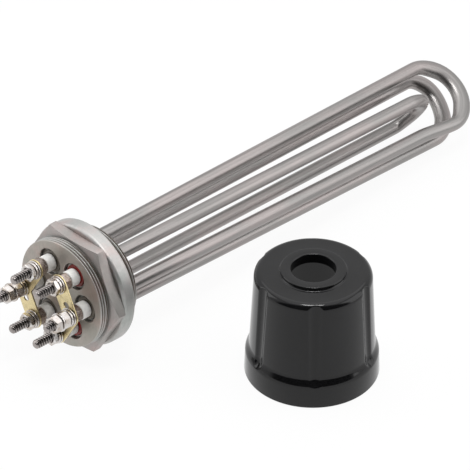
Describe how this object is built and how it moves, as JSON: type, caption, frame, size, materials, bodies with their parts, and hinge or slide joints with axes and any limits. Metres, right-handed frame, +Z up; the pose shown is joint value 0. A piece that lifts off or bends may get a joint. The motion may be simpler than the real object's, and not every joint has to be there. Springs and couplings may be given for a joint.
{
  "type": "screw plug immersion heater",
  "caption": "Screw plug immersion heater: sheathed U tubes in a threaded plug with a hexagon, ceramic-beaded terminal studs joined by plates, and its fluted terminal cap standing beside it.",
  "frame": {"origin": "on the floor, under the middle of the bounding box of the heater and its cap", "axes": "+X runs along the lying heater from its terminals to the bends of its tubes, +Z is up, and the cap stands on the -Y side"},
  "size_m": [0.3752, 0.2008, 0.0799],
  "materials": {
    "stainless_steel": "satin",
    "plated_steel": "satin",
    "stud_steel": "satin",
    "yellow_brass": "satin",
    "white_ceramic": "matte",
    "red_silicone": "satin",
    "magnesia": "matte",
    "resistance_wire": "satin",
    "black_phenolic": "gloss"
  },
  "bodies": {
    "root": {"ceramic_bead_1": "white_ceramic", "ceramic_bead_2": "white_ceramic", "ceramic_bead_3": "white_ceramic", "ceramic_bead_4": "white_ceramic", "ceramic_bead_5": "white_ceramic", "ceramic_bead_6": "white_ceramic", "flat_washer_1": "plated_steel", "flat_washer_2": "plated_steel", "flat_washer_3": "plated_steel", "flat_washer_4": "plated_steel", "flat_washer_5": "plated_steel", "flat_washer_6": "plated_steel", "heating_coil_a": "resistance_wire", "heating_coil_b": "resistance_wire", "heating_coil_c": "resistance_wire", "link_plate_a": "yellow_brass", "link_plate_b": "yellow_brass", "lower_nut_1": "plated_steel", "lower_nut_2": "plated_steel", "lower_nut_3": "plated_steel", "lower_nut_4": "plated_steel", "lower_nut_5": "plated_steel", "lower_nut_6": "plated_steel", "magnesia_core_a": "magnesia", "magnesia_core_b": "magnesia", "magnesia_core_c": "magnesia", "plug_head": "stainless_steel", "sheath_a": "stainless_steel", "sheath_b": "stainless_steel", "sheath_c": "stainless_steel", "silicone_seal_1": "red_silicone", "silicone_seal_2": "red_silicone", "silicone_seal_3": "red_silicone", "silicone_seal_4": "red_silicone", "silicone_seal_5": "red_silicone", "silicone_seal_6": "red_silicone", "spring_washer_1": "plated_steel", "spring_washer_2": "plated_steel", "spring_washer_3": "plated_steel", "spring_washer_4": "plated_steel", "spring_washer_5": "plated_steel", "spring_washer_6": "plated_steel", "supply_nut_1": "plated_steel", "supply_nut_4": "plated_steel", "supply_washer_1": "plated_steel", "supply_washer_4": "plated_steel", "terminal_cap": "black_phenolic", "terminal_stud_1": "stud_steel", "terminal_stud_2": "stud_steel", "terminal_stud_3": "stud_steel", "terminal_stud_4": "stud_steel", "terminal_stud_5": "stud_steel", "terminal_stud_6": "stud_steel", "top_nut_1": "plated_steel", "top_nut_2": "plated_steel", "top_nut_3": "plated_steel", "top_nut_4": "plated_steel", "top_nut_5": "plated_steel", "top_nut_6": "plated_steel"}
  },
  "joints": []
}
